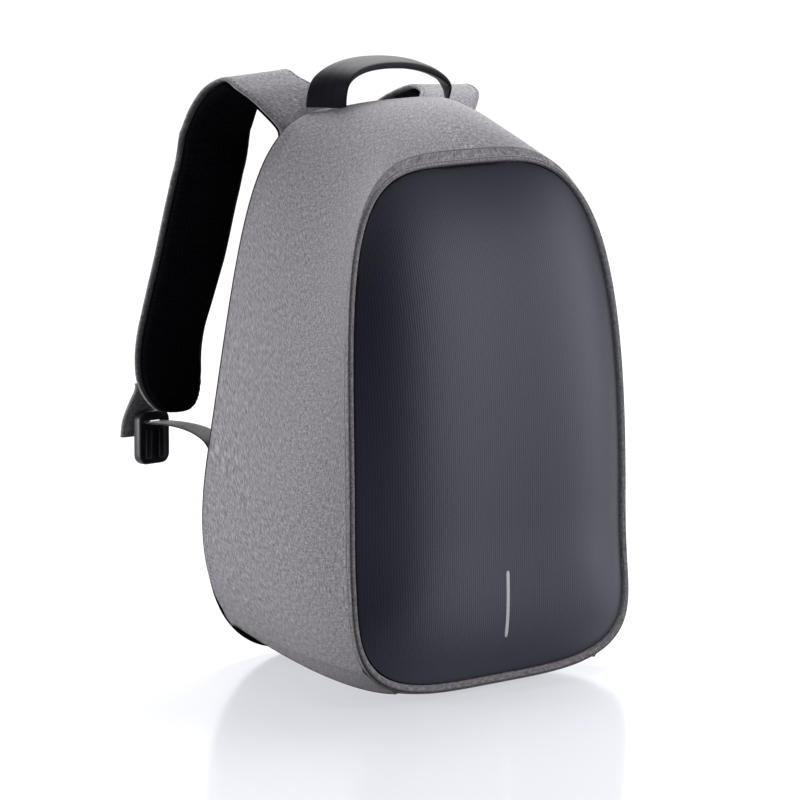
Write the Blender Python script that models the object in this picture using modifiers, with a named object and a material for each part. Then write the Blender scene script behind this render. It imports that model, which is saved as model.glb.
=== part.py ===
"""An anti-theft backpack: a soft egg-shaped bag with a domed front panel, a back pad, a handle and two shoulder
straps. Metres, +Z up. The front faces -Y, the wearer's back is at +Y, and the origin is on the floor under the bag."""
from collections import namedtuple
from math import cos, pi, radians, sin, sqrt

import bmesh
import bpy
from mathutils import Vector

# The bag
BODY_HEIGHT = 0.400
BODY_WIDTH = 0.268
FRONT_REACH = 0.080
BACK_REACH = 0.1085
BACK_LEAN = 0.086
TOE_HEIGHT = 0.120
TOE_KICK = 0.0136
FRONT_LEAN = 0.0176
SIDE_SWEEP = 0.0068
SIT_FLAT = 0.0015
SHELL_WALL = 0.0025
SHELL_INSET = 0.0042
BASE_WALL = 0.003
GAP = 0.0003
SEWN_GAP = 0.0007

# The front panel and the rim round it
RIM_BAND = 0.0065
RIM_WALL = 0.0016
RIM_RETURN = 0.0034
SHADOW_GAP = 0.0008
PANEL_WALL = 0.0025
PANEL_BULGE = 0.022
PANEL_CROWN_HEIGHT = 0.135
PANEL_SQUARENESS = 4.5
STRIP_LENGTH = 0.046
STRIP_WIDTH = 0.003
STRIP_WALL = 0.0006
STRIP_FOOT_HEIGHT = 0.037

# The back
BACK_PAD_INSET = 0.0055
BACK_FLANGE = 0.0012
BACK_PAD_EDGE = 0.0045
BACK_PAD_CROWN = 0.0055
BACK_PAD_SHARE = 0.925
BACK_PAD_STEP = 0.01
PIPING_RADIUS = 0.0016
PIPING_INSET = 0.0020
BACK_PAD_START = 2 * PIPING_RADIUS + 2 * GAP

# The handle
HANDLE_FOOT_SPACING = 0.116
HANDLE_WIDTH = 0.028
HANDLE_DEPTH_PLACE = 0.017
HANDLE_RISE = 0.0325
HANDLE_LEAN = 0.17
HANDLE_GRIP_THICKNESS = 0.0065
HANDLE_BAND_THICKNESS = 0.003
HANDLE_SPLAY_DEG = 44.0
HANDLE_FOOT_SHARE = 0.26
HANDLE_END_SHARE = 0.985
GRIP_NARROWING = 0.72

# The shoulder straps
STRAP_WIDTH = 0.065
STRAP_SPREAD = 0.124
STRAP_REACH = 0.114
STRAP_RISE = 0.0405
RIGHT_SLUMP = 0.42
RIGHT_BOW = 0.016
RIGHT_BOW_PLACE = 0.11
RIGHT_BOW_REACH = 0.25
STRAP_DROP = 0.202
STRAP_ROOT_HEIGHT = 0.379
STRAP_COVER = 0.0025
STRAP_PAD = 0.0055
STRAP_PAD_INSET = 0.0015
STRAP_END_ROUND = 0.030
TIP_START = 0.85
TIP_FLAT = 0.30
STRAP_LOOK_AHEAD = 0.02
POCKET_START = 0.50
POCKET_END = 0.60
POCKET_WIDTH = 0.046
POCKET_THICKNESS = 0.0035

# The tab, buckle and webbing at the end of each strap
TAB_WIDTH = 0.030
TAB_THICKNESS = 0.004
BUCKLE_WIDTH = 0.028
BUCKLE_HEIGHT = 0.038
BUCKLE_THICKNESS = 0.007
BUCKLE_CORNER = 0.007
WEBBING_WIDTH = 0.020
WEBBING_THICKNESS = 0.0014
WEBBING_ANCHOR_HEIGHT = 0.148
WEBBING_PLACE = 0.092
TAB_PLACE = 0.106
TAB_LENGTH = 0.040
TAB_SWING = 0.016
TAB_SEAT_SHARE = 0.93
BUCKLE_PLACE = 0.101
BUCKLE_TUCK = 0.0072
SLOT_HEIGHT = 0.005
SLOT_BELOW_TOP = 0.008
SLOT_CLEARANCE = 0.001

# How finely the round shapes are cut
AROUND_BAG = 64
AROUND_BASE = 14
ALONG_DEPTH = 8
ALONG_STRAP = 26
ALONG_TIP = 8
ACROSS_STRAP = 4
ALONG_HANDLE = 18
ALONG_FOOT = 5
ALONG_WEBBING = 12

# Outlines of the bag across its depth. half_width is a share of half BODY_WIDTH; low, high and widest are shares
# of BODY_HEIGHT; depth is the share of the way from front to back; the powers say how square each half is.
Section = namedtuple("Section", "half_width low high widest top_power low_power depth")
RIM = Section(1.0, 0.0125, 0.917, 0.192, 4.15, 3.50, 0.0)
MIDDLE = Section(1.0, 0.0, 1.0, 0.2545, 2.55, 2.90, 0.388)
BACK = Section(0.868, 0.0194, 0.993, 0.395, 5.0, 2.28, 1.0)
BASE_SPAN = radians(34)
SEAM_STEP = radians(0.6)
SHELL_END = 0.997

# The outer edge of a strap's outer face, from the bag to its tip: spread is a share of STRAP_SPREAD, back of
# STRAP_REACH past the root, up of STRAP_RISE above the root, or of STRAP_DROP below it where it is negative, and
# tilt is how far the inner edge stands above the outer one,
# as a share of the width, and wide is a share of STRAP_WIDTH.
StrapRow = namedtuple("StrapRow", "spread back up tilt wide")
STRAP_ROWS = (
    StrapRow(0.690, 0.00, 0.00, 0.20, 0.90),
    StrapRow(0.702, 0.02, 0.19, 0.20, 0.90),
    StrapRow(0.810, 0.10, 0.61, 0.13, 0.90),
    StrapRow(0.881, 0.17, 0.84, 0.08, 0.91),
    StrapRow(0.913, 0.26, 1.00, 0.05, 0.92),
    StrapRow(0.945, 0.39, 0.84, 0.03, 0.94),
    StrapRow(0.962, 0.505, 0.48, 0.02, 0.96),
    StrapRow(0.978, 0.594, -0.01, 0.0, 0.98),
    StrapRow(0.989, 0.66, -0.165, 0.0, 1.00),
    StrapRow(0.992, 0.72, -0.273, 0.0, 1.00),
    StrapRow(1.0, 0.80, -0.432, 0.0, 1.00),
    StrapRow(1.0, 0.852, -0.515, 0.0, 0.98),
    StrapRow(1.0, 0.92, -0.626, 0.0, 0.96),
    StrapRow(1.0, 0.97, -0.716, 0.0, 0.94),
    StrapRow(0.992, 1.00, -0.806, 0.0, 0.92),
    StrapRow(0.967, 1.01, -0.90, 0.0, 0.90),
    StrapRow(0.920, 1.01, -1.00, 0.0, 0.88),
)

# The tab's bend: share of its length hung down and share of its swing away from the strap.
TAB_BEND = ((0.0, 0.0), (0.12, 0.02), (0.36, 0.40), (0.70, 0.86), (1.0, 1.0))

# The webbing's bend from its anchor to the buckle: shares of the way sideways, back and up.
WEBBING_BEND = (
    (0.0, 0.0, 0.0),
    (0.05, 0.0, 0.30),
    (0.15, 0.10, 0.66),
    (0.40, 0.32, 0.92),
    (0.70, 0.62, 1.02),
    (1.0, 0.94, 1.0),
)


def finish_material(name, colour, roughness):
    """A plain cloth or plastic finish."""
    material = bpy.data.materials.new(name)
    material.use_nodes = True
    shader = material.node_tree.nodes["Principled BSDF"]
    shader.inputs["Base Color"].default_value = (*colour, 1.0)
    shader.inputs["Roughness"].default_value = roughness
    shader.inputs["Metallic"].default_value = 0.0
    return material


def start_scene():
    """An empty scene with the collection that holds the bag."""
    for thing in list(bpy.data.objects):
        bpy.data.objects.remove(thing, do_unlink=True)
    collection = bpy.data.collections.new("anti_theft_backpack")
    bpy.context.scene.collection.children.link(collection)
    return collection


def place(name, mesh, material):
    """The bmesh as a named, smooth shaded object of the bag."""
    data = bpy.data.meshes.new(name)
    mesh.to_mesh(data)
    mesh.free()
    data.shade_smooth()
    data.set_sharp_from_angle(angle=radians(40))
    data.materials.append(material)
    thing = bpy.data.objects.new(name, data)
    BAG.objects.link(thing)
    return thing


def loft(rows, ring=False, flip=False):
    """A surface through rows of points; ring joins the two ends of each row and flip turns its faces over."""
    mesh = bmesh.new()
    lines = [[mesh.verts.new(point) for point in row] for row in rows]
    for line, following in zip(lines, lines[1:]):
        for i in range(len(line) if ring else len(line) - 1):
            j = (i + 1) % len(line)
            mesh.faces.new((line[i], line[j], following[j], following[i]))
    if flip:
        bmesh.ops.reverse_faces(mesh, faces=mesh.faces)
    return mesh, lines


def close_ends(mesh):
    """Fills the open ends and turns every face outwards."""
    bmesh.ops.holes_fill(mesh, edges=[edge for edge in mesh.edges if edge.is_boundary])
    bmesh.ops.recalc_face_normals(mesh, faces=mesh.faces)


def give_wall(thing, thickness, offset=-1.0):
    """Solidify: the drawn surface is the outer face and the wall grows inwards."""
    wall = thing.modifiers.new("wall", "SOLIDIFY")
    wall.thickness = thickness
    wall.offset = offset
    wall.use_even_offset = True


def signed_power(value, power):
    return (1 if value >= 0 else -1) * abs(value) ** power


def egg(section, angle, grow=0.0):
    """x and z on a section's outline; grow moves the outline outwards."""
    c = cos(angle)
    s = sin(angle)
    power = section.top_power if s >= 0 else section.low_power
    widest = section.widest * BODY_HEIGHT
    rise = section.high * BODY_HEIGHT - widest if s >= 0 else widest - section.low * BODY_HEIGHT
    x = (section.half_width * BODY_WIDTH / 2 + grow) * signed_power(c, 2 / power)
    z = widest + (rise + grow) * signed_power(s, 2 / power)
    return x, z


def front_y(x, z):
    """The front edge's depth: it leans back above the toe and kicks forward at the floor."""
    lean = max(0.0, (z - TOE_HEIGHT) / (BODY_HEIGHT * 0.6))
    toe = max(0.0, (TOE_HEIGHT - z) / TOE_HEIGHT)
    sweep = SIDE_SWEEP * (2 * x / BODY_WIDTH) ** 2
    return -FRONT_REACH + FRONT_LEAN * lean**2 - TOE_KICK * toe**2 - sweep


def back_y(z):
    return BACK_REACH - BACK_LEAN * z / BODY_HEIGHT


def settled(z):
    """The lowest millimetres of the bag are pressed flat on the floor."""
    return max(0.0, (z - SIT_FLAT) * BODY_HEIGHT / (BODY_HEIGHT - SIT_FLAT))


def section_point(section, angle):
    x, z = egg(section, angle)
    front = front_y(x, z)
    return Vector((x, front + section.depth * (back_y(z) - front), z))


def skin(share, angle):
    """The bag's outer face: share 0 is the front seam and 1 the back edge; angle 0 is +X and a quarter turn the top."""
    at_rim = 2 * (share - 0.5) * (share - 1)
    at_middle = -4 * share * (share - 1)
    at_back = 2 * share * (share - 0.5)
    point = at_rim * section_point(RIM, angle)
    point += at_middle * section_point(MIDDLE, angle)
    point += at_back * section_point(BACK, angle)
    point.z = settled(point.z)
    return point


def spread(start, end, count):
    """count + 1 even values from start to end."""
    return [start + (end - start) * i / count for i in range(count + 1)]


def seam_angles(start, end, count):
    """Even angles with a narrow step at each end, so that two walls that meet at a seam stand side by side."""
    even = spread(start, end, count)
    return [start, start + SEAM_STEP] + even[1:-1] + [end - SEAM_STEP, end]


def bag_height(x, y):
    """The height of the bag's top face over a point of the floor."""
    share = 0.8
    angle = pi / 3
    step = 1e-5
    for _ in range(20):
        here = skin(share, angle)
        by_share = (skin(share + step, angle) - here) / step
        by_angle = (skin(share, angle + step) - here) / step
        miss_x = x - here.x
        miss_y = y - here.y
        area = by_share.x * by_angle.y - by_share.y * by_angle.x
        share += (miss_x * by_angle.y - miss_y * by_angle.x) / area
        angle += (by_share.x * miss_y - by_share.y * miss_x) / area
    return skin(share, angle).z


def depth_share(angle, distance):
    """The share of the way from front to back that lies a distance behind the front seam."""
    return distance / (section_point(BACK, angle).y - section_point(RIM, angle).y)


def skin_rows(angles):
    """Rows of the outer face between the rim's return and the back edge."""
    rows = []
    for part in spread(0.0, 1.0, ALONG_DEPTH):
        starts = [depth_share(angle, SHELL_INSET) for angle in angles]
        rows.append([skin(start + (SHELL_END - start) * part, angle) for start, angle in zip(starts, angles)])
    return rows


def make_body_shell():
    """The fabric shell: both sides and the top, open at the front, at the back and over the base."""
    angles = seam_angles(-pi / 2 + BASE_SPAN, 3 * pi / 2 - BASE_SPAN, AROUND_BAG - AROUND_BASE)
    mesh, _ = loft(skin_rows(angles), flip=True)
    thing = place("body_shell", mesh, GREY_CLOTH)
    give_wall(thing, SHELL_WALL)


def make_base_panel():
    """The bottom, sewn to the shell along both long edges and flat where it stands."""
    seam = SEWN_GAP / (BODY_WIDTH / 2)
    angles = seam_angles(-pi / 2 - BASE_SPAN + seam, -pi / 2 + BASE_SPAN - seam, AROUND_BASE)
    mesh, _ = loft(skin_rows(angles), flip=True)
    thing = place("base_panel", mesh, GREY_CLOTH)
    give_wall(thing, BASE_WALL)


def panel_edge(angle, grow=0.0):
    """The edge of the front panel, inside the rim band."""
    x, z = egg(RIM, angle, grow - RIM_BAND)
    return Vector((x, front_y(x, z), settled(z)))


def make_front_rim():
    """The flat band of shell cloth that frames the front panel."""
    rows = []
    for angle in spread(0, 2 * pi, AROUND_BAG)[:-1]:
        seam = skin(0.0, angle)
        behind = skin(depth_share(angle, RIM_RETURN), angle)
        inner = panel_edge(angle, SHADOW_GAP)
        wall = Vector((0, RIM_WALL, 0))
        inward = (inner - seam).normalized() * RIM_WALL
        inward.y = 0.0
        crown = (seam + inner) / 2 - wall / 4
        rows.append([behind, seam, crown, inner, inner + wall, seam + inward + wall])
    rows.append(rows[0])
    mesh, _ = loft(rows, ring=True)
    bmesh.ops.remove_doubles(mesh, verts=mesh.verts, dist=1e-6)
    bmesh.ops.recalc_face_normals(mesh, faces=mesh.faces)
    place("front_rim", mesh, GREY_CLOTH)


def panel_point(radius, angle):
    """The domed front panel: radius 0 is its crown and 1 its edge."""
    edge = panel_edge(angle)
    x = radius * edge.x
    z = PANEL_CROWN_HEIGHT + radius * (edge.z - PANEL_CROWN_HEIGHT)
    return Vector((x, front_y(x, z) - PANEL_BULGE * (1 - radius**PANEL_SQUARENESS), z))


def dome(rings, point):
    """A surface of rings round one middle point; rings runs from the rim inwards."""
    angles = spread(0, 2 * pi, AROUND_BAG)[:-1]
    mesh, lines = loft([[point(radius, angle) for angle in angles] for radius in rings], ring=True)
    middle = mesh.verts.new(point(0.0, 0.0))
    last = lines[-1]
    for i in range(len(last)):
        mesh.faces.new((last[i], last[(i + 1) % len(last)], middle))
    return mesh, lines


def make_front_panel():
    """The moulded charcoal panel, a thin dome held by the rim."""
    rings = [1.0, 0.97, 0.92, 0.84, 0.72, 0.5, 0.25]
    mesh, _ = dome(rings, panel_point)
    thing = place("front_panel", mesh, CHARCOAL)
    give_wall(thing, PANEL_WALL)


def panel_front(x, z):
    """The panel's front face at a place near its middle line."""
    edge_low = panel_edge(-pi / 2).z
    edge_high = panel_edge(pi / 2).z
    edge = edge_low if z < PANEL_CROWN_HEIGHT else edge_high
    radius = abs((z - PANEL_CROWN_HEIGHT) / (edge - PANEL_CROWN_HEIGHT))
    return front_y(x, z) - PANEL_BULGE * (1 - radius**PANEL_SQUARENESS)


def make_reflective_strip():
    """The slim reflective bar on the panel's middle line."""
    heights = spread(STRIP_FOOT_HEIGHT, STRIP_FOOT_HEIGHT + STRIP_LENGTH, 6)
    rows = []
    for z in heights:
        y = panel_front(0.0, z) - GAP
        rows.append([Vector((x, y, z)) for x in (-STRIP_WIDTH / 2, STRIP_WIDTH / 2)])
    mesh, _ = loft(rows)
    thing = place("reflective_strip", mesh, REFLECTIVE)
    give_wall(thing, STRIP_WALL, offset=1.0)


def back_pad_edge(angle, lift):
    """The back pad's outline, just inside the back edge and down to the floor."""
    outline = BACK._replace(low=BACK_PAD_INSET / -BODY_HEIGHT)
    x, z = egg(outline, angle, -BACK_PAD_INSET)
    return Vector((x, back_y(z) + lift, max(z, 0.0)))


def back_pad_rear(radius, angle):
    """The back pad's rear face: radius 0 is its middle and 1 its edge."""
    edge = back_pad_edge(angle, 0.0)
    x = radius * edge.x
    z = BODY_HEIGHT / 2 + radius * (edge.z - BODY_HEIGHT / 2)
    return Vector((x, back_y(z) + BACK_PAD_START + pad_thickness(radius), z))


def pad_thickness(radius):
    """A thin sewn flange round a padded middle."""
    if radius > BACK_PAD_SHARE:
        return BACK_FLANGE
    return BACK_PAD_EDGE + BACK_PAD_CROWN * (1 - (radius / BACK_PAD_SHARE) ** 6)


def make_back_pad():
    """The padded back panel that closes the bag against the wearer."""
    mesh, lines = dome([1.0, BACK_PAD_SHARE + BACK_PAD_STEP, BACK_PAD_SHARE, 0.86, 0.72, 0.4], back_pad_rear)
    angles = spread(0, 2 * pi, AROUND_BAG)[:-1]
    front = [mesh.verts.new(back_pad_edge(angle, BACK_PAD_START)) for angle in angles]
    for i in range(len(front)):
        j = (i + 1) % len(front)
        mesh.faces.new((front[i], front[j], lines[0][j], lines[0][i]))
    mesh.faces.new(front)
    bmesh.ops.recalc_face_normals(mesh, faces=mesh.faces)
    place("back_panel", mesh, BLACK_MESH)


def make_back_piping():
    """The bound edge between the shell and the back pad."""
    curve = bpy.data.curves.new("back_piping", "CURVE")
    curve.dimensions = "3D"
    curve.bevel_depth = PIPING_RADIUS
    curve.bevel_resolution = 1
    spline = curve.splines.new("POLY")
    angles = spread(0, 2 * pi, AROUND_BAG)[:-1]
    spline.points.add(len(angles) - 1)
    for point, angle in zip(spline.points, angles):
        x, z = egg(BACK, angle, -PIPING_INSET)
        point.co = (x, back_y(z) + PIPING_RADIUS + GAP, settled(z), 1.0)
    spline.use_cyclic_u = True
    curve.materials.append(BLACK_CLOTH)
    thing = bpy.data.objects.new("back_piping", curve)
    BAG.objects.link(thing)


def band_rings(centres, across, thickness, widths):
    """Rings of a flat band through centres; across is each centre's width direction and the long edges are round."""
    rows = []
    last = len(centres) - 1
    for i, centre in enumerate(centres):
        along = (centres[min(i + 1, last)] - centres[max(i - 1, 0)]).normalized()
        wide = (across[i] - across[i].dot(along) * along).normalized()
        out = along.cross(wide)
        half = widths[i] / 2
        deep = thickness[i] / 2
        ring = [(-1.0, 0.0), (-0.9, 0.8), (0.0, 1.0), (0.9, 0.8), (1.0, 0.0), (0.9, -0.8), (0.0, -1.0), (-0.9, -0.8)]
        rows.append([centre + wide * (u * half) + out * (v * deep) for u, v in ring])
    return rows


def band(rings):
    """A closed solid through a band's rings."""
    mesh, _ = loft(rings, ring=True)
    close_ends(mesh)
    return mesh


def handle_centre(share):
    """The middle of the handle band: share -1 is the left foot, 0 the top of the arch and 1 the right foot."""
    x = HANDLE_FOOT_SPACING / 2 * signed_power(sin(share * pi / 2), 0.92)
    foot = bag_height(HANDLE_FOOT_SPACING / 2, HANDLE_DEPTH_PLACE)
    arch = (1 - share**2) ** 0.85 * (1 - HANDLE_LEAN * share)
    return Vector((x, HANDLE_DEPTH_PLACE, foot + HANDLE_RISE * arch))


def handle_across(share):
    """The band lies level on the arch and turns outwards towards its feet."""
    turn = radians(HANDLE_SPLAY_DEG) * signed_power(share, 1.6)
    return Vector((-sin(turn), -cos(turn), 0))


def make_handle():
    """A padded grip between two flat feet that are sewn to the top of the bag."""
    seam = 1.0 - HANDLE_FOOT_SHARE
    feet = spread(seam, HANDLE_END_SHARE, ALONG_FOOT)
    shares = [-s for s in reversed(feet[1:])] + spread(-seam, seam, ALONG_HANDLE) + feet[1:]
    thick = [HANDLE_BAND_THICKNESS + (HANDLE_GRIP_THICKNESS - HANDLE_BAND_THICKNESS) * max(0.0, 1 - (s / seam) ** 4)
             for s in shares]
    wide = [HANDLE_WIDTH * min(1.0, GRIP_NARROWING + (1 - GRIP_NARROWING) * (s / seam) ** 2) for s in shares]
    rings = band_rings([handle_centre(s) for s in shares], [handle_across(s) for s in shares], thick, wide)
    place("handle_grip", band(rings[ALONG_FOOT:-ALONG_FOOT]), BLACK_CLOTH)
    for name, foot in (("handle_foot_left", rings[ALONG_FOOT::-1]), ("handle_foot_right", rings[-ALONG_FOOT - 1:])):
        step = (foot[1][0] - foot[0][0]).normalized() * GAP
        mesh = band([[point + step for point in foot[0]]] + foot[1:])
        lift_clear(mesh)
        place(name, mesh, BLACK_CLOTH)


def lift_clear(mesh):
    """Keeps every point of a sewn-on piece a gap above the bag's top face."""
    for vert in mesh.verts:
        floor = bag_height(abs(vert.co.x), vert.co.y) + SEWN_GAP
        vert.co.z = max(vert.co.z, floor)


def mirrored(points, side):
    return [Vector((side * point.x, point.y, point.z)) for point in points]


def strap_edge(share, side):
    """The outer edge of a strap's outer face as if it were on the right, its tilt and its width.

    The right strap stands lower than the left one and bows outwards over the shoulder.
    """
    place_in = share * (len(STRAP_ROWS) - 1)
    first = min(int(place_in), len(STRAP_ROWS) - 2)
    part = place_in - first
    rows = [STRAP_ROWS[max(0, min(first + k, len(STRAP_ROWS) - 1))] for k in (-1, 0, 1, 2)]

    def eased(column):
        a, b, c, d = (getattr(row, column) for row in rows)
        return 0.5 * (2 * b + (c - a) * part + (2 * a - 5 * b + 4 * c - d) * part**2
                      + (3 * b - a - 3 * c + d) * part**3)

    up = eased("up")
    rise = STRAP_RISE * (1 - RIGHT_SLUMP) if side > 0 else STRAP_RISE
    height = STRAP_ROOT_HEIGHT + up * (rise if up > 0 else STRAP_DROP)
    root = back_y(STRAP_ROOT_HEIGHT) + BACK_PAD_START + BACK_FLANGE + GAP
    bow = RIGHT_BOW * max(0.0, 1 - ((share - RIGHT_BOW_PLACE) / RIGHT_BOW_REACH) ** 2) if side > 0 else 0.0
    spot = Vector((eased("spread") * STRAP_SPREAD + bow, root + eased("back") * STRAP_REACH, height))
    return spot, eased("tilt"), eased("wide") * STRAP_WIDTH


def strap_frame(share, side=-1):
    """A strap's middle, its direction across to the inner edge, its direction into the padding, and its width."""
    spot, tilt, width = strap_edge(share, side)
    ahead = strap_edge(min(share + STRAP_LOOK_AHEAD, 1.0), side)[0]
    behind = strap_edge(max(share - STRAP_LOOK_AHEAD, 0.0), side)[0]
    along = (ahead - behind).normalized()
    across = Vector((-1, 0, tilt)).normalized()
    return spot + across * width / 2, across, across.cross(along).normalized(), width


def strap_shares():
    """Even steps along the strap, with closer ones in the rounded tip."""
    return spread(0.0, TIP_START, ALONG_STRAP) + spread(TIP_START, 1.0, ALONG_TIP)[1:]


def strap_rows(side, depth, inset):
    """The strap's surface at a depth below its outer face, narrowed by inset at each edge."""
    rows = []
    tip = strap_edge(1.0, side)[0].z
    for share in strap_shares():
        middle, across, inwards, width = strap_frame(share, side)
        left = min(1.0, (middle.z - tip) / STRAP_END_ROUND) if share > TIP_START else 1.0
        half = width / 2 * (TIP_FLAT + (1 - TIP_FLAT) * sqrt(1 - (1 - left) ** 2)) - inset
        middle += inwards * depth
        row = [middle + across * half * u for u in spread(-1, 1, ACROSS_STRAP)]
        rows.append(mirrored(row, side))
    return rows


def strap_layer(name, side, depth, inset, wall, material):
    mesh, _ = loft(strap_rows(side, depth, inset), flip=side > 0)
    thing = place(name, mesh, material)
    give_wall(thing, wall)


def make_straps():
    """A cloth cover over a mesh pad, arched over the bag's shoulder and hanging down its back."""
    for name, side in SIDES:
        strap_layer("strap_" + name, side, 0.0, 0.0, STRAP_COVER, GREY_CLOTH)
        under = STRAP_COVER + GAP
        strap_layer("strap_mesh_" + name, side, under, STRAP_PAD_INSET, STRAP_PAD, BLACK_MESH)


def make_strap_pocket():
    """A flat card pocket on the outer face of the left strap."""
    rows = []
    for share in spread(POCKET_START, POCKET_END, 6):
        middle, across, inwards, _ = strap_frame(share)
        middle -= inwards * GAP
        row = [middle + across * POCKET_WIDTH / 2 * u for u in (-1, -0.9, 0, 0.9, 1)]
        rows.append(mirrored(row, -1))
    mesh, _ = loft(rows)
    thing = place("strap_pocket", mesh, GREY_CLOTH)
    give_wall(thing, POCKET_THICKNESS, offset=1.0)


def tab_route():
    """The middle line of a right-hand tab, from the strap's outer face down to the buckle."""
    seat = strap_frame(TAB_SEAT_SHARE)[0].y + TAB_THICKNESS / 2 + GAP
    top = strap_frame(TAB_SEAT_SHARE)[0].z
    return [Vector((TAB_PLACE, seat + TAB_SWING * swing, top - TAB_LENGTH * drop)) for drop, swing in TAB_BEND]


def make_tabs():
    """A folded cloth tab that carries the buckle behind the strap's tip."""
    route = tab_route()
    for name, side in SIDES:
        across = [Vector((1, 0, 0))] * len(route)
        count = len(route)
        mesh = band(band_rings(mirrored(route, side), across, [TAB_THICKNESS] * count, [TAB_WIDTH] * count))
        place("strap_tab_" + name, mesh, GREY_CLOTH)


def buckle_middle():
    """The buckle's middle: it hangs between the strap's tip and the tab that bends round it."""
    end = tab_route()[-1]
    y = end.y - TAB_THICKNESS / 2 - BUCKLE_TUCK - BUCKLE_THICKNESS / 2
    return Vector((BUCKLE_PLACE, y, end.z))


def make_buckles():
    """A ladder-lock buckle: a rounded plate with a slot for the webbing below its top bar."""
    middle = buckle_middle()
    for name, side in SIDES:
        mesh = bmesh.new()
        bmesh.ops.create_cube(mesh, size=1.0)
        bmesh.ops.scale(mesh, vec=(BUCKLE_WIDTH, BUCKLE_THICKNESS, BUCKLE_HEIGHT), verts=mesh.verts)
        upright = [edge for edge in mesh.edges if abs(edge.verts[0].co.y - edge.verts[1].co.y) > BUCKLE_THICKNESS / 2]
        bmesh.ops.bevel(mesh, geom=upright, offset=BUCKLE_CORNER, segments=4, profile=0.5, affect="EDGES")
        bmesh.ops.translate(mesh, vec=Vector((side * middle.x, middle.y, middle.z)), verts=mesh.verts)
        thing = place("buckle_" + name, mesh, BLACK_PLASTIC)
        cutter = bmesh.new()
        bmesh.ops.create_cube(cutter, size=1.0)
        size = (WEBBING_WIDTH + 2 * SLOT_CLEARANCE, 2 * BUCKLE_THICKNESS, SLOT_HEIGHT)
        bmesh.ops.scale(cutter, vec=size, verts=cutter.verts)
        spot = Vector((side * middle.x, middle.y, middle.z + BUCKLE_HEIGHT / 2 - SLOT_BELOW_TOP))
        bmesh.ops.translate(cutter, vec=spot, verts=cutter.verts)
        cut = place("cut_slot_" + name, cutter, BLACK_PLASTIC)
        BAG.objects.unlink(cut)
        CUTTERS.objects.link(cut)
        cut.hide_render = True
        cut.display_type = "WIRE"
        slot = thing.modifiers.new("slot", "BOOLEAN")
        slot.operation = "DIFFERENCE"
        slot.object = cut


def webbing_route():
    """A right-hand webbing's middle line: flat on the back pad, then back and up into the buckle's slot."""
    middle = buckle_middle()
    slot = middle.z + BUCKLE_HEIGHT / 2 - SLOT_BELOW_TOP
    end = Vector((WEBBING_PLACE, 0.0, WEBBING_ANCHOR_HEIGHT))
    rear = max(pad_rear_at(WEBBING_PLACE + u * WEBBING_WIDTH / 2, WEBBING_ANCHOR_HEIGHT) for u in (-1, 0, 1))
    end.y = rear + WEBBING_THICKNESS / 2 + GAP
    start = Vector((BUCKLE_PLACE, middle.y, slot))
    run = start - end
    return [Vector((end.x + run.x * out, end.y + run.y * back, end.z + run.z * up)) for out, back, up in WEBBING_BEND]


def pad_rear_at(x, z):
    """The back pad's rear face behind a place of the back: found by walking out along its spoke."""
    height = z - BODY_HEIGHT / 2
    best = min(spread(-pi / 2, pi / 2, 180), key=lambda a: spoke_miss(a, x, height))
    edge = back_pad_edge(best, 0.0)
    radius = min(1.0, x / edge.x)
    return back_y(z) + BACK_PAD_START + pad_thickness(radius)


def spoke_miss(angle, x, height):
    """How far a spoke of the back pad passes from a place, as the sine of the angle between them."""
    edge = back_pad_edge(angle, 0.0)
    rise = edge.z - BODY_HEIGHT / 2
    return abs(edge.x * height - rise * x) / (sqrt(edge.x**2 + rise**2) * sqrt(x**2 + height**2))


def make_webbings():
    """The adjusting webbing between each buckle and the foot of the back pad."""
    route = webbing_route()
    shares = spread(0, len(route) - 1, ALONG_WEBBING)
    smooth = [along_points(route, share) for share in shares]
    for name, side in SIDES:
        across = [Vector((1, 0, 0))] * len(smooth)
        points = mirrored(smooth, side)
        count = len(smooth)
        mesh = band(band_rings(points, across, [WEBBING_THICKNESS] * count, [WEBBING_WIDTH] * count))
        place("webbing_" + name, mesh, BLACK_CLOTH)


def along_points(points, place_in):
    """A smooth curve through points, read at a place between them."""
    first = min(int(place_in), len(points) - 2)
    part = place_in - first
    a, b, c, d = (points[max(0, min(first + k, len(points) - 1))] for k in (-1, 0, 1, 2))
    return 0.5 * (2 * b + (c - a) * part + (2 * a - 5 * b + 4 * c - d) * part**2 + (3 * b - a - 3 * c + d) * part**3)


SIDES = (("left", -1), ("right", 1))
BAG = start_scene()
CUTTERS = bpy.data.collections.new("cutters")
bpy.context.scene.collection.children.link(CUTTERS)
GREY_CLOTH = finish_material("grey_melange_cloth", (0.27, 0.26, 0.28), 0.9)
CHARCOAL = finish_material("charcoal_ribbed_cloth", (0.03, 0.03, 0.04), 0.55)
REFLECTIVE = finish_material("reflective_tape", (0.6, 0.6, 0.62), 0.4)
BLACK_MESH = finish_material("black_air_mesh", (0.01, 0.01, 0.013), 0.85)
BLACK_CLOTH = finish_material("black_webbing", (0.015, 0.015, 0.02), 0.7)
BLACK_PLASTIC = finish_material("black_plastic", (0.012, 0.012, 0.014), 0.45)

make_body_shell()
make_base_panel()
make_front_rim()
make_front_panel()
make_reflective_strip()
make_back_piping()
make_back_pad()
make_handle()
make_straps()
make_strap_pocket()
make_tabs()
make_buckles()
make_webbings()
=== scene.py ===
from bisect import bisect_right
from collections import namedtuple
from math import cos, pi, radians, sin, sqrt

import bmesh
import bpy
from mathutils import Matrix, Vector, noise
from mathutils.bvhtree import BVHTree


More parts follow.
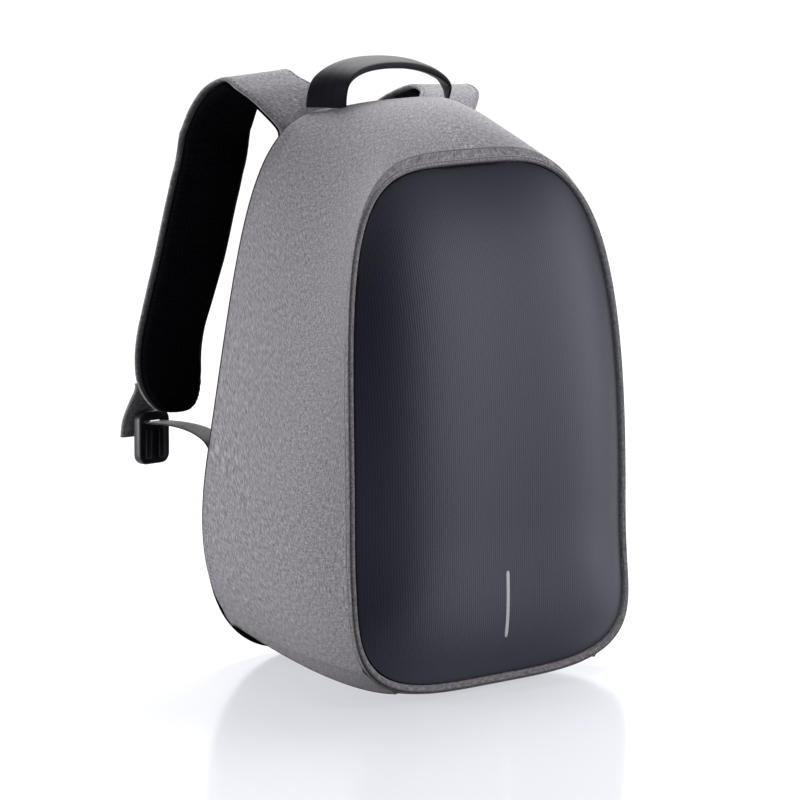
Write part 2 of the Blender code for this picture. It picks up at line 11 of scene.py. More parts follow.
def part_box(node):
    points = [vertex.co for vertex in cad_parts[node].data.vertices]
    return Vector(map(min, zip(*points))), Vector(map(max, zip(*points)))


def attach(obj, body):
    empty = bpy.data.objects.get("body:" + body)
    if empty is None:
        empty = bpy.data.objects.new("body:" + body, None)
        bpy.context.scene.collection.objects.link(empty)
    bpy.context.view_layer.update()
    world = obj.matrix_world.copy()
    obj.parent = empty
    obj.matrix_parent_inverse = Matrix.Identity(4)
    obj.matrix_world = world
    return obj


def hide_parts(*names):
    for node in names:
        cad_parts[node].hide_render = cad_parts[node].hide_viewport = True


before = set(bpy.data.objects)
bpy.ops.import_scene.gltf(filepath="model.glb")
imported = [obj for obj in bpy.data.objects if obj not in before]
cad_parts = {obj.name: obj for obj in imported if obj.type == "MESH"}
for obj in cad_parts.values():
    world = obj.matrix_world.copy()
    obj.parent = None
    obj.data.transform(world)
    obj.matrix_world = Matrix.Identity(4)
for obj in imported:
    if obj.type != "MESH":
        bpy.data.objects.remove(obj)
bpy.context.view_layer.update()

# Camera: the photo's angle, from the front left and a little above
AIM = Vector((0, 0, 0.2))
CAMERA_TURN = radians(-43.789)
CAMERA_RISE = radians(7.909)
CAMERA_DISTANCE = 3.480275
away = Vector((sin(CAMERA_TURN) * cos(CAMERA_RISE), -cos(CAMERA_TURN) * cos(CAMERA_RISE), sin(CAMERA_RISE)))
camera = bpy.data.objects.new("camera", bpy.data.cameras.new("camera"))
bpy.context.scene.collection.objects.link(camera)
camera.location = AIM + away * CAMERA_DISTANCE
camera.rotation_euler = (-away).to_track_quat("-Z", "Y").to_euler()
camera.data.lens = 224.2
camera.data.sensor_width = 36
camera.data.shift_x = -0.00534
camera.data.shift_y = -0.01519
bpy.context.scene.camera = camera
bpy.context.scene.view_settings.view_transform = "Standard"

# The bag's form, as in the part's source. Metres.
BODY_HEIGHT = 0.400
BODY_WIDTH = 0.268
FRONT_REACH = 0.080
BACK_REACH = 0.1085
BACK_LEAN = 0.086
TOE_HEIGHT = 0.120
TOE_KICK = 0.0136
FRONT_LEAN = 0.0176
SIDE_SWEEP = 0.0068
SIT_FLAT = 0.0015
RIM_BAND = 0.0065
SHADOW_GAP = 0.0008
PANEL_BULGE = 0.022
PANEL_CROWN_HEIGHT = 0.135
PANEL_SQUARENESS = 4.5
BACK_PAD_START = 0.0038
BACK_PAD_INSET = 0.0055
BASE_SPAN = radians(34)
Section = namedtuple("Section", "half_width low high widest top_power low_power depth")
RIM = Section(1.0, 0.0125, 0.917, 0.192, 4.15, 3.50, 0.0)
MIDDLE = Section(1.0, 0.0, 1.0, 0.2545, 2.55, 2.90, 0.388)
BACK = Section(0.868, 0.0194, 0.993, 0.395, 5.0, 2.28, 1.0)

# The handle and straps, as in the part's source
HANDLE_FOOT_SPACING = 0.116
HANDLE_WIDTH = 0.028
HANDLE_DEPTH_PLACE = 0.017
HANDLE_RISE = 0.0325
HANDLE_LEAN = 0.17
HANDLE_SPLAY = radians(44)
HANDLE_SEAM = 0.74
STRAP_WIDTH = 0.065
STRAP_SPREAD = 0.124
STRAP_REACH = 0.114
STRAP_RISE = 0.0405
RIGHT_SLUMP = 0.42
RIGHT_BOW = 0.016
RIGHT_BOW_PLACE = 0.11
RIGHT_BOW_REACH = 0.25
STRAP_DROP = 0.202
STRAP_ROOT_HEIGHT = 0.379
STRAP_COVER = 0.0025
STRAP_PAD = 0.0055
STRAP_END_ROUND = 0.030
TIP_START = 0.85
STRAP_ROOT_Y = 0.0323
POCKET_START = 0.50
POCKET_END = 0.60
# spread, back, up, tilt and width at even places along a strap
STRAP_ROWS = (
    (0.690, 0.00, 0.00, 0.20, 0.90),
    (0.702, 0.02, 0.19, 0.20, 0.90),
    (0.810, 0.10, 0.61, 0.13, 0.90),
    (0.881, 0.17, 0.84, 0.08, 0.91),
    (0.913, 0.26, 1.00, 0.05, 0.92),
    (0.945, 0.39, 0.84, 0.03, 0.94),
    (0.962, 0.505, 0.48, 0.02, 0.96),
    (0.978, 0.594, -0.01, 0.0, 0.98),
    (0.989, 0.66, -0.165, 0.0, 1.00),
    (0.992, 0.72, -0.273, 0.0, 1.00),
    (1.0, 0.80, -0.432, 0.0, 1.00),
    (1.0, 0.852, -0.515, 0.0, 0.98),
    (1.0, 0.92, -0.626, 0.0, 0.96),
    (1.0, 0.97, -0.716, 0.0, 0.94),
    (0.992, 1.00, -0.806, 0.0, 0.92),
    (0.967, 1.01, -0.90, 0.0, 0.90),
    (0.920, 1.01, -1.00, 0.0, 0.88),
)
SIDES = (("left", -1), ("right", 1))

# Stitches as pitch, length and half thickness
TOPSTITCH = (0.0036, 0.0026, 0.0003)
FINE_STITCH = (0.0036, 0.0026, 0.00028)
SEAM_STITCH = (0.0040, 0.0034, 0.0005)


def linear(code):
    """An sRGB hex colour as linear red, green, blue and alpha."""
    parts = [int(code[i:i + 2], 16) / 255 for i in (1, 3, 5)]
    return (*[c / 12.92 if c <= 0.04045 else ((c + 0.055) / 1.055) ** 2.4 for c in parts], 1.0)


def add(tree, kind, inputs=None, **settings):
    """Adds a node with its settings; inputs maps a socket to a value or to another node's output."""
    node = tree.nodes.new("ShaderNode" + kind)
    for name, value in settings.items():
        setattr(node, name, value)
    for name, value in (inputs or {}).items():
        if isinstance(value, bpy.types.NodeSocket):
            tree.links.new(value, node.inputs[name])
        else:
            node.inputs[name].default_value = value
    return node


def wave_scale(millimetres):
    """The scale at which a wave texture repeats every so many millimetres."""
    return 2 * pi / 20 * 1000 / millimetres


def start_material(name, roughness, **sockets):
    """A Principled material; returns it with its tree and its shader."""
    material = bpy.data.materials.new(name)
    material.use_nodes = True
    shader = material.node_tree.nodes["Principled BSDF"]
    shader.inputs["Roughness"].default_value = roughness
    for socket, value in sockets.items():
        shader.inputs[socket.replace("_", " ")].default_value = value
    return material, material.node_tree, shader


# Polyester melange plain weave, dyed in the yarn: each thread is a little lighter or darker than the next, so
# it reads as grey flecked with light and dark runs, 4 mm long and 0.9 mm wide both ways. Threads are 0.6 mm
# apart, drawn at 1.1 mm so that they show.
melange, tree, shader = start_material("melange_polyester_weave", 0.92, Sheen_Weight=0.06,
                                       Specular_IOR_Level=0.15)
shader.inputs["Sheen Tint"].default_value = linear("#c9c6cc")
cloth = add(tree, "TexCoord").outputs["UV"]
warp_place = add(tree, "Mapping", {"Vector": cloth, "Scale": (1000 / 0.9, 1000 / 4.0, 1)})
weft_place = add(tree, "Mapping", {"Vector": cloth, "Scale": (1000 / 4.0, 1000 / 0.9, 1)})
warp = add(tree, "TexNoise", {"Vector": warp_place.outputs[0], "Scale": 1.0, "Detail": 2.0, "Roughness": 0.7})
weft = add(tree, "TexNoise", {"Vector": weft_place.outputs[0], "Scale": 1.0, "Detail": 2.0, "Roughness": 0.7})
threads = add(tree, "Math", {0: warp.outputs[0], 1: weft.outputs[0]}, operation="ADD")
flecks = add(tree, "MapRange", {"Value": threads.outputs[0], "From Min": 0.68, "From Max": 1.32})
shade = add(tree, "ValToRGB", {"Fac": flecks.outputs[0]})
shade.color_ramp.elements[0].color = linear("#67646a")
shade.color_ramp.elements[1].color = linear("#c6c3c9")
middle_grey = shade.color_ramp.elements.new(0.5)
middle_grey.color = linear("#98959b")
tree.links.new(shade.outputs[0], shader.inputs["Base Color"])
over = add(tree, "TexWave", {"Vector": cloth, "Scale": wave_scale(1.1)}, bands_direction="X")
under = add(tree, "TexWave", {"Vector": cloth, "Scale": wave_scale(1.1)}, bands_direction="Y")
weave = add(tree, "Math", {0: over.outputs[1], 1: under.outputs[1]}, operation="MULTIPLY")
relief = add(tree, "Math", {0: weave.outputs[0], 1: threads.outputs[0]}, operation="ADD")
bump = add(tree, "Bump", {"Height": relief.outputs[0], "Strength": 0.5, "Distance": 0.0003})
tree.links.new(bump.outputs[0], shader.inputs["Normal"])

# Coated ribbed polyester bonded to a moulded foam sheet: a satin charcoal face with fine ribs from top to
# bottom. The ribs are about 1 mm apart, drawn at 2 mm so that they show. The colour is painted darker in the
# valleys between the ribs, which is painted shade.
ribbed, tree, shader = start_material("coated_rib_polyester", 0.44, Specular_IOR_Level=0.42)
shader.inputs["Specular Tint"].default_value = linear("#dde2ff")
face = add(tree, "TexCoord").outputs["Object"]
ribs = add(tree, "TexWave", {"Vector": face, "Scale": wave_scale(2.0)}, bands_direction="X")
grain = add(tree, "TexNoise", {"Vector": face, "Scale": 1000 / 1.4, "Detail": 2.0})
# Painted shade: the rib relief also darkens the colour in the valleys between the ribs.
rib_relief_and_shade = add(tree, "Math", {0: ribs.outputs[1], 1: grain.outputs[0]}, operation="MULTIPLY")
tint = add(tree, "ValToRGB", {"Fac": rib_relief_and_shade.outputs[0]})
tint.color_ramp.elements[0].color = linear("#191a23")
tint.color_ramp.elements[1].color = linear("#292a34")
tree.links.new(tint.outputs[0], shader.inputs["Base Color"])
bump = add(tree, "Bump", {"Height": rib_relief_and_shade.outputs[0], "Strength": 0.35, "Distance": 0.0002})
tree.links.new(bump.outputs[0], shader.inputs["Normal"])

# Knitted polyester spacer mesh: a matte black face with small round holes between ribs, about 2.4 mm apart.
# The holes are painted darker than the face, which is painted shade in them.
spacer, tree, shader = start_material("knitted_spacer_mesh", 0.9, Specular_IOR_Level=0.06)
face = add(tree, "TexCoord").outputs["UV"]
holes = add(tree, "TexVoronoi", {"Vector": face, "Scale": 1000 / 2.4, "Randomness": 0.12},
            voronoi_dimensions="2D")
# Painted shade: the colour goes darker towards each hole's middle, by the same depth as the bump.
depth = add(tree, "MapRange", {"Value": holes.outputs["Distance"], "From Min": 0.15, "From Max": 0.45})
tint = add(tree, "ValToRGB", {"Fac": depth.outputs[0]})
tint.color_ramp.elements[0].color = linear("#030206")
tint.color_ramp.elements[1].color = linear("#15141c")
tree.links.new(tint.outputs[0], shader.inputs["Base Color"])
bump = add(tree, "Bump", {"Height": depth.outputs[0], "Strength": 0.8, "Distance": 0.0006})
tree.links.new(bump.outputs[0], shader.inputs["Normal"])

# Nylon webbing, woven flat and dyed black: dense ribs across its length every 1.3 mm with a faint sheen.
# The colour is painted darker between the ribs, which is painted shade.
webbing_cloth, tree, shader = start_material("nylon_webbing", 0.6, Specular_IOR_Level=0.2, Sheen_Weight=0.6,
                                             Sheen_Roughness=0.35)
face = add(tree, "TexCoord").outputs["UV"]
rows = add(tree, "TexWave", {"Vector": face, "Scale": wave_scale(1.3)}, bands_direction="Y")
lines = add(tree, "TexWave", {"Vector": face, "Scale": wave_scale(2.0)}, bands_direction="X")
webbing_relief_and_shade = add(tree, "Math", {0: rows.outputs[1], 1: lines.outputs[1]}, operation="MULTIPLY")
# Painted shade: the weave relief also darkens the colour between the ribs.
tint = add(tree, "ValToRGB", {"Fac": webbing_relief_and_shade.outputs[0]})
tint.color_ramp.elements[0].color = linear("#070814")
tint.color_ramp.elements[1].color = linear("#131523")
tree.links.new(tint.outputs[0], shader.inputs["Base Color"])
bump = add(tree, "Bump", {"Height": webbing_relief_and_shade.outputs[0], "Strength": 0.2, "Distance": 0.0002})
tree.links.new(bump.outputs[0], shader.inputs["Normal"])

# Acetal, injection moulded against a spark-eroded mould: black with a fine matte grain of 0.5 mm and a soft
# highlight.
acetal, tree, shader = start_material("moulded_acetal", 0.42, Specular_IOR_Level=0.5)
face = add(tree, "TexCoord").outputs["Object"]
grit = add(tree, "TexNoise", {"Vector": face, "Scale": 1000 / 0.5, "Detail": 2.0})
tint = add(tree, "ValToRGB", {"Fac": grit.outputs[0]})
tint.color_ramp.elements[0].color = linear("#08080c")
tint.color_ramp.elements[1].color = linear("#131318")
tree.links.new(tint.outputs[0], shader.inputs["Base Color"])
bump = add(tree, "Bump", {"Height": grit.outputs[0], "Strength": 0.25, "Distance": 0.0001})
tree.links.new(bump.outputs[0], shader.inputs["Normal"])

# Glass-bead reflective transfer, heat pressed: pale silver, with painted glints, white spots in the colour at
# the middle of each bead. The beads are about 0.06 mm across, drawn at 0.8 mm so that they show.
beads, tree, shader = start_material("reflective_transfer", 0.38)
face = add(tree, "TexCoord").outputs["Object"]
painted_bead_glints = add(tree, "TexVoronoi", {"Vector": face, "Scale": 1000 / 0.8})
# Painted glints: the colour is white at each bead's middle and pale silver between beads.
tint = add(tree, "ValToRGB", {"Fac": painted_bead_glints.outputs["Distance"]})
tint.color_ramp.elements[0].color = linear("#ffffff")
tint.color_ramp.elements[1].color = linear("#dcdce4")
tree.links.new(tint.outputs[0], shader.inputs["Base Color"])

# Bonded polyester thread, twisted: a slightly darker grey than the cloth, with the twist every 0.8 mm drawn as
# lighter and darker bands in the colour, which is painted shade between the plies.
thread, tree, shader = start_material("bonded_thread_grey", 0.6)
face = add(tree, "TexCoord").outputs["Object"]
ply_bands_painted_shade = add(tree, "TexWave", {"Vector": face, "Scale": wave_scale(0.8)}, bands_direction="DIAGONAL")
# Painted shade: the twist's bands darken the colour between the plies.
tint = add(tree, "ValToRGB", {"Fac": ply_bands_painted_shade.outputs[1]})
tint.color_ramp.elements[0].color = linear("#4a484d")
tint.color_ramp.elements[1].color = linear("#77747a")
tree.links.new(tint.outputs[0], shader.inputs["Base Color"])


def signed_power(value, power):
    return (1 if value >= 0 else -1) * abs(value) ** power


def egg(section, angle, grow=0.0):
    """x and z on a section's outline; grow moves the outline outwards."""
    c = cos(angle)
    s = sin(angle)
    power = section.top_power if s >= 0 else section.low_power
    widest = section.widest * BODY_HEIGHT
    up = section.high * BODY_HEIGHT - widest if s >= 0 else widest - section.low * BODY_HEIGHT
    x = (section.half_width * BODY_WIDTH / 2 + grow) * signed_power(c, 2 / power)
    return x, widest + (up + grow) * signed_power(s, 2 / power)


def front_y(x, z):
    lean = max(0.0, (z - TOE_HEIGHT) / (BODY_HEIGHT * 0.6))
    toe = max(0.0, (TOE_HEIGHT - z) / TOE_HEIGHT)
    return -FRONT_REACH + FRONT_LEAN * lean**2 - TOE_KICK * toe**2 - SIDE_SWEEP * (2 * x / BODY_WIDTH) ** 2


def back_y(z):
    return BACK_REACH - BACK_LEAN * z / BODY_HEIGHT


def settled(z):
    return max(0.0, (z - SIT_FLAT) * BODY_HEIGHT / (BODY_HEIGHT - SIT_FLAT))


def section_point(section, angle):
    x, z = egg(section, angle)
    front = front_y(x, z)
    return Vector((x, front + section.depth * (back_y(z) - front), z))


def skin(share, angle):
    """The bag's outer face: share 0 is the front seam and 1 the back edge; a quarter turn is the top."""
    point = 2 * (share - 0.5) * (share - 1) * section_point(RIM, angle)
    point -= 4 * share * (share - 1) * section_point(MIDDLE, angle)
    point += 2 * share * (share - 0.5) * section_point(BACK, angle)
    point.z = settled(point.z)
    return point


def skin_normal(share, angle):
    """The outward direction of the bag's outer face."""
    along = skin(share + 0.01, angle) - skin(share - 0.01, angle)
    around = skin(share, angle + 0.002) - skin(share, angle - 0.002)
    return around.cross(along).normalized()


def depth_share(angle, distance):
    return distance / (section_point(BACK, angle).y - section_point(RIM, angle).y)


def panel_edge(angle, grow=0.0):
    x, z = egg(RIM, angle, grow - RIM_BAND)
    return Vector((x, front_y(x, z), settled(z)))


def even_angles(start, end, count, outline):
    """Angles from start to end whose points are evenly far apart along an outline."""
    fine = [start + (end - start) * i / 4000 for i in range(4001)]
    lengths = [0.0]
    for a, b in zip(fine, fine[1:]):
        lengths.append(lengths[-1] + (outline(b) - outline(a)).length)
    wanted = [lengths[-1] * i / count for i in range(count + 1)]
    places = [min(4000, max(0, bisect_right(lengths, w) - 1)) for w in wanted]
    return [fine[p] for p in places[:-1]] + [end], lengths[-1]


def spread(start, end, count):
    return [start + (end - start) * i / count for i in range(count + 1)]


def link(name, mesh, material):
    """The bmesh as a smooth piece that rides on the bag, with the material it is given."""
    data = bpy.data.meshes.new(name)
    mesh.to_mesh(data)
    mesh.free()
    data.shade_smooth()
    data.set_sharp_from_angle(angle=radians(60))
    data.materials.append(material)
    piece = bpy.data.objects.new(name, data)
    bpy.context.scene.collection.objects.link(piece)
    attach(piece, "root")
    return piece


def drape(columns, rows, shape, cloth_size=(1.0, 1.0), marks=None):
    """A grid laid over shape(column, row), with a cloth map in metres; marks are uneven places across it."""
    mesh = bmesh.new()
    layer = mesh.loops.layers.uv.new("UVMap")
    bmesh.ops.create_grid(mesh, x_segments=columns, y_segments=rows, size=0.5)
    for face in mesh.faces:
        for loop in face.loops:
            u = (loop.vert.co.x + 0.5) * cloth_size[0]
            if marks:
                u = marks[round((loop.vert.co.x + 0.5) * columns)]
            loop[layer].uv = (u, (loop.vert.co.y + 0.5) * cloth_size[1])
    for vert in mesh.verts:
        vert.co = shape(round((vert.co.x + 0.5) * columns), round((vert.co.y + 0.5) * rows))
    return mesh


def closed(mesh):
    """Joins the ends of a wrapped grid and turns its faces out."""
    bmesh.ops.remove_doubles(mesh, verts=mesh.verts, dist=1e-6)
    bmesh.ops.holes_fill(mesh, edges=[edge for edge in mesh.edges if edge.is_boundary])
    bmesh.ops.recalc_face_normals(mesh, faces=mesh.faces)
    return mesh


def outward(mesh, centre):
    """Turns an open surface so that its faces look away from centre."""
    mesh.normal_update()
    facing = sum((face.calc_center_median() - centre).dot(face.normal) * face.calc_area() for face in mesh.faces)
    if facing < 0:
        bmesh.ops.reverse_faces(mesh, faces=mesh.faces)
    return mesh


def wall(piece, thickness):
    """Solidify: the drawn surface is the outer face and the cloth's thickness grows inwards."""
    modifier = piece.modifiers.new("wall", "SOLIDIFY")
    modifier.thickness = thickness
    modifier.offset = -1.0


def smoothstep(value):
    value = max(0.0, min(1.0, value))
    return value * value * (3 - 2 * value)


def sag(point):
    """How far the soft cloth waves in and out, in metres: a slow swell and small slack dents."""
    slow = noise.noise(point * 14) * 0.0009
    small = noise.noise(point * 45 + Vector((7, 3, 1))) * 0.0003
    return slow + small


def stitches(name, path, normals, kind):
    """A row of thread stitches along a path, each a short rounded bead that lies on the cloth."""
    pitch, length, radius = kind
    mesh = bmesh.new()
    walked = 0.0
    due = pitch / 2
    for a, b, normal in zip(path, path[1:], normals):
        step = (b - a).length
        while step > 0 and due <= walked + step:
            centre = a + (b - a) * ((due - walked) / step) + normal * radius * 0.3
            along = (b - a).normalized()
            side = normal.cross(along).normalized()
            place = Matrix((along * length / 2, side * radius, normal * radius)).transposed().to_4x4()
            place.translation = centre
            bmesh.ops.create_uvsphere(mesh, u_segments=6, v_segments=4, radius=1.0, matrix=place)
            due += pitch
        walked += step
    bmesh.ops.recalc_face_normals(mesh, faces=mesh.faces)
    return link(name, mesh, thread)


# The shell: both sides and the top in one piece, drawn in a little where it meets the rim and the piping
SHELL_COLUMNS = 300
SHELL_PLACES = [0.0, 0.001] + spread(0.0, 1.0, 54)[1:-1] + [0.999, 1.0]
CLOTH_END = 0.998
CLOTH_DEPTH = 0.18
BAG_CENTRE = Vector((0, 0, 0.2))
shell_angles, shell_length = even_angles(-pi / 2 + BASE_SPAN, 3 * pi / 2 - BASE_SPAN, SHELL_COLUMNS,
                                         lambda a: section_point(MIDDLE, a))


def base_line(share):
    """Where the sewn line low on the left side lies, as an angle round the section."""
    return radians(208.5 + 24.5 * smoothstep((share - 0.15) / 0.95))


def shell_shape(column, row):
    """The bag's skin with slack in the cloth, drawn in at its edges and along the line low on each side."""
    angle = shell_angles[column]
    start = depth_share(angle, 0.0036)
    share = start + (CLOTH_END - start) * SHELL_PLACES[row]
    point = skin(share, angle)
    depth = section_point(BACK, angle).y - section_point(RIM, angle).y
    near = min(share - start, CLOTH_END - share) * depth
    end = min(column, SHELL_COLUMNS - column) / SHELL_COLUMNS * shell_length
    calm = smoothstep(near / 0.03) * smoothstep(end / 0.02)
    front = (share - start) * depth < 0.02
    tuck = (0.0002 if front else 0.0009) * (1 - smoothstep(near / 0.0045))
    tuck += 0.0016 * (1 - smoothstep(end / 0.005))
    off_line = abs(max(angle, pi - angle) - base_line(share)) * 0.09
    tuck += 0.0010 * (1 - smoothstep(off_line / 0.006))
    return point + skin_normal(share, angle) * (sag(point) * calm - tuck)


shell_mesh = drape(SHELL_COLUMNS, len(SHELL_PLACES) - 1, shell_shape, (shell_length, CLOTH_DEPTH))
shell = link("bag_shell", outward(shell_mesh, BAG_CENTRE), melange)
wall(shell, 0.0024)
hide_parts("body_shell")

# The bottom panel, sewn in along both long edges
BASE_COLUMNS = 90
BASE_ROWS = 40
base_angles, base_length = even_angles(-pi / 2 - BASE_SPAN, -pi / 2 + BASE_SPAN, BASE_COLUMNS,
                                       lambda a: section_point(MIDDLE, a))


def base_shape(column, row):
    angle = base_angles[column]
    start = depth_share(angle, 0.0037)
    share = start + (CLOTH_END - start) * row / BASE_ROWS
    point = skin(share, angle)
    end = min(column, BASE_COLUMNS - column) / BASE_COLUMNS * base_length
    tuck = 0.0014 * (1 - smoothstep(end / 0.005))
    point += skin_normal(share, angle) * -tuck
    point.z = max(point.z, 0.0)
    return point


base_mesh = drape(BASE_COLUMNS, BASE_ROWS, base_shape, (base_length, CLOTH_DEPTH))
base = link("bag_base", outward(base_mesh, BAG_CENTRE), melange)
wall(base, 0.0028)
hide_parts("base_panel")

# The sewn line low on each side, laid on the shell's own faces
shell_surface = BVHTree.FromPolygons([v.co for v in shell.data.vertices],
                                     [f.vertices[:] for f in shell.data.polygons])
for name in ("left", "right"):
    seam = []
    normals = []
    for share in spread(0.02, 0.97, 160):
        angle = base_line(share) if name == "left" else pi - base_line(share)
        normals.append(skin_normal(share, angle))
        seam.append(shell_surface.find_nearest(skin(share, angle))[0] + normals[-1] * 0.0002)
    stitches("base_stitching_" + name, seam, normals, SEAM_STITCH)

# The rim: a soft band of the same cloth, turned back at the seam and at the panel
RIM_COLUMNS = 360
RIM_ROWS = 17
RIM_STITCH_ROW = 7
rim_angles, rim_length = even_angles(0, 2 * pi, RIM_COLUMNS, lambda a: section_point(RIM, a))


def rim_profile(row, angle):
    """Places round the rim's section; the seam's groove lies by the outer edge, at the top by the panel."""
    high = smoothstep((skin(0.0, angle).z - 0.30) / 0.06)
    seam = 0.16 + 0.34 * high
    return ((0.0, 0.0034), (0.0, 0.0012 + 0.0017 * high), (seam * 0.3, 0.0002 + 0.0013 * high),
            (seam - 0.09, 0.0005 * high), (seam - 0.03, 0.0005 + 0.0003 * high), (seam, 0.0010),
            (seam + 0.03, 0.0004), (seam + 0.09, -0.0006), (seam + 0.20, -0.0010),
            (max(0.78, seam + 0.3), -0.0009), (0.94, -0.0001), (1.0, 0.0011), (1.0, 0.0041), (1.4, 0.0042),
            (1.4, 0.0048), (0.80, 0.0048), (0.22, 0.0030))[row % RIM_ROWS]


def rim_point(across, back, angle):
    """A place on the rim: across runs from the seam to the panel, back is how far behind the face it lies."""
    seam = skin(0.0, angle)
    if across == 0.0:
        return skin(depth_share(angle, back), angle)
    inner = panel_edge(angle, SHADOW_GAP)
    return seam + (inner - seam) * across + Vector((0, back, 0))


def rim_shape(column, row):
    angle = rim_angles[column]
    return rim_point(*rim_profile(row, angle), angle)


rim_mesh = drape(RIM_COLUMNS, RIM_ROWS, rim_shape, (rim_length, 0.022))
rim = link("front_rim_band", closed(rim_mesh), melange)
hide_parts("front_rim")
rim_seam = []
for angle in rim_angles:
    across, back = rim_profile(RIM_STITCH_ROW, angle)
    rim_seam.append(rim_point(across, back, angle))
stitches("rim_stitching", rim_seam, [Vector((0, -1, 0))] * RIM_COLUMNS, FINE_STITCH)

# The front panel: a moulded dome whose edge turns back behind the rim
PANEL_COLUMNS = 240
panel_angles, _ = even_angles(0, 2 * pi, PANEL_COLUMNS, panel_edge)
PANEL_RINGS = [i / 30 for i in range(29)] + [0.955, 0.975, 0.99, 1.0]


def panel_face(radius, angle):
    edge = panel_edge(angle)
    x = radius * edge.x
    z = PANEL_CROWN_HEIGHT + radius * (edge.z - PANEL_CROWN_HEIGHT)
    return Vector((x, front_y(x, z) - PANEL_BULGE * (1 - radius**PANEL_SQUARENESS), z))


def panel_shape(column, row):
    """Out over the face to the edge, back 3.5 mm, and in again over the lining."""
    angle = panel_angles[column]
    count = len(PANEL_RINGS)
    if row < count:
        return panel_face(PANEL_RINGS[row], angle)
    if row == count:
        return panel_face(1.0, angle) + Vector((0, 0.0035, 0))
    return panel_face(PANEL_RINGS[2 * count - row], angle) + Vector((0, 0.0025, 0))


panel_mesh = closed(drape(PANEL_COLUMNS, 2 * len(PANEL_RINGS), panel_shape))
panel = link("front_panel_dome", panel_mesh, ribbed)
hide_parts("front_panel")


def panel_front(z):
    """The panel's face on its middle line."""
    edge = panel_edge(-pi / 2).z if z < PANEL_CROWN_HEIGHT else panel_edge(pi / 2).z
    radius = abs((z - PANEL_CROWN_HEIGHT) / (edge - PANEL_CROWN_HEIGHT))
    return front_y(0.0, z) - PANEL_BULGE * (1 - radius**PANEL_SQUARENESS)


# The reflective bar, pressed on to the panel's middle line, with rounded corners
BAR_LOW = 0.037
BAR_LENGTH = 0.046
BAR_WIDTH = 0.003
BAR_COLUMNS = 4
BAR_ROWS = 24
BAR_ROUND_ROWS = 1.5


def bar_shape(column, row):
    z = BAR_LOW + BAR_LENGTH * row / BAR_ROWS
    into_corner = max(0.0, abs(row - BAR_ROWS / 2) - (BAR_ROWS / 2 - BAR_ROUND_ROWS))
    corner = sqrt(max(0.0, 1 - into_corner**2 / BAR_ROUND_ROWS**2))
    x = (column / BAR_COLUMNS - 0.5) * BAR_WIDTH * (0.6 + 0.4 * corner)
    return Vector((x, panel_front(z) - 0.00005, z))


bar_mesh = drape(BAR_COLUMNS, BAR_ROWS, bar_shape)
bmesh.ops.solidify(bar_mesh, geom=bar_mesh.faces, thickness=-0.00035)
bmesh.ops.recalc_face_normals(bar_mesh, faces=bar_mesh.faces)
bar = link("reflective_bar", bar_mesh, beads)
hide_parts("reflective_strip")

# The bound edge round the back
PIPING_COLUMNS = 300
PIPING_ROWS = 12
PIPING_INSET = 0.0020
PIPING_OUTER = 0.0016
PIPING_INNER = 0.0050
back_angles, back_length = even_angles(0, 2 * pi, PIPING_COLUMNS, lambda a: section_point(BACK, a))


def piping_shape(column, row):
    """A ring round the back edge that reaches far enough in to close the gap between the shell and the pad."""
    angle = back_angles[column]
    x, z = egg(BACK, angle, -PIPING_INSET)
    x_out, z_out = egg(BACK, angle, 0.0)
    out = Vector((x_out - x, 0, z_out - z)).normalized()
    turned = 2 * pi * row / PIPING_ROWS
    reach = PIPING_OUTER if cos(turned) > 0 else PIPING_INNER
    ring = out * cos(turned) * reach + Vector((0, PIPING_OUTER * sin(turned), 0))
    point = Vector((x, back_y(z) + 0.0019, settled(z))) + ring
    point.z = max(point.z, 0.0)
    return point


piping_mesh = closed(drape(PIPING_COLUMNS, PIPING_ROWS, piping_shape, (back_length, 0.010)))
piping = link("back_binding", piping_mesh, webbing_cloth)
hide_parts("back_piping")


# The back pad: foam under spacer mesh, with a sewn flange, a middle channel and cross channels
def pad_edge(angle):
    outline = BACK._replace(low=-BACK_PAD_INSET / BODY_HEIGHT)
    x, z = egg(outline, angle, -BACK_PAD_INSET)
    z = max(z, 0.0)
    return Vector((x, back_y(z), z + 0.0015 * (1 - smoothstep(z / 0.05))))


PAD_RINGS = [i / 36 for i in range(33)] + [0.905, 0.918, 0.928, 0.94, 0.97, 1.0]
PAD_COLUMNS = 220
PAD_FLANGE = 0.0012
PAD_SEAM = 0.928
PAD_CHANNEL_LEVELS = (0.09, 0.17, 0.25, 0.33)
pad_angles, _ = even_angles(0, 2 * pi, PAD_COLUMNS, pad_edge)


def pad_shape(column, row):
    """Out over the padded face to the flange's edge, then in again over the flat side towards the bag."""
    angle = pad_angles[column]
    count = len(PAD_RINGS)
    radius = PAD_RINGS[row] if row < count else PAD_RINGS[2 * count - 1 - row]
    edge = pad_edge(angle)
    x = radius * edge.x
    z = BODY_HEIGHT / 2 + radius * (edge.z - BODY_HEIGHT / 2)
    if row >= count:
        return Vector((x, back_y(z) + BACK_PAD_START, z))
    body = smoothstep((PAD_SEAM - radius) / 0.025)
    crown = 0.0045 + 0.0055 * (1 - min(1.0, radius / 0.925) ** 6)
    crown *= 0.3 + 0.7 * smoothstep(z / 0.08)
    channel = max(0.0, 1 - abs(x) / 0.009) ** 0.7 * 0.0045
    for level in PAD_CHANNEL_LEVELS:
        channel = max(channel, max(0.0, 1 - abs(z - level - 0.25 * abs(x)) / 0.004) ** 0.8 * 0.0028)
    thick = PAD_FLANGE + body * (crown - PAD_FLANGE - channel)
    return Vector((x, back_y(z) + BACK_PAD_START + thick, z))


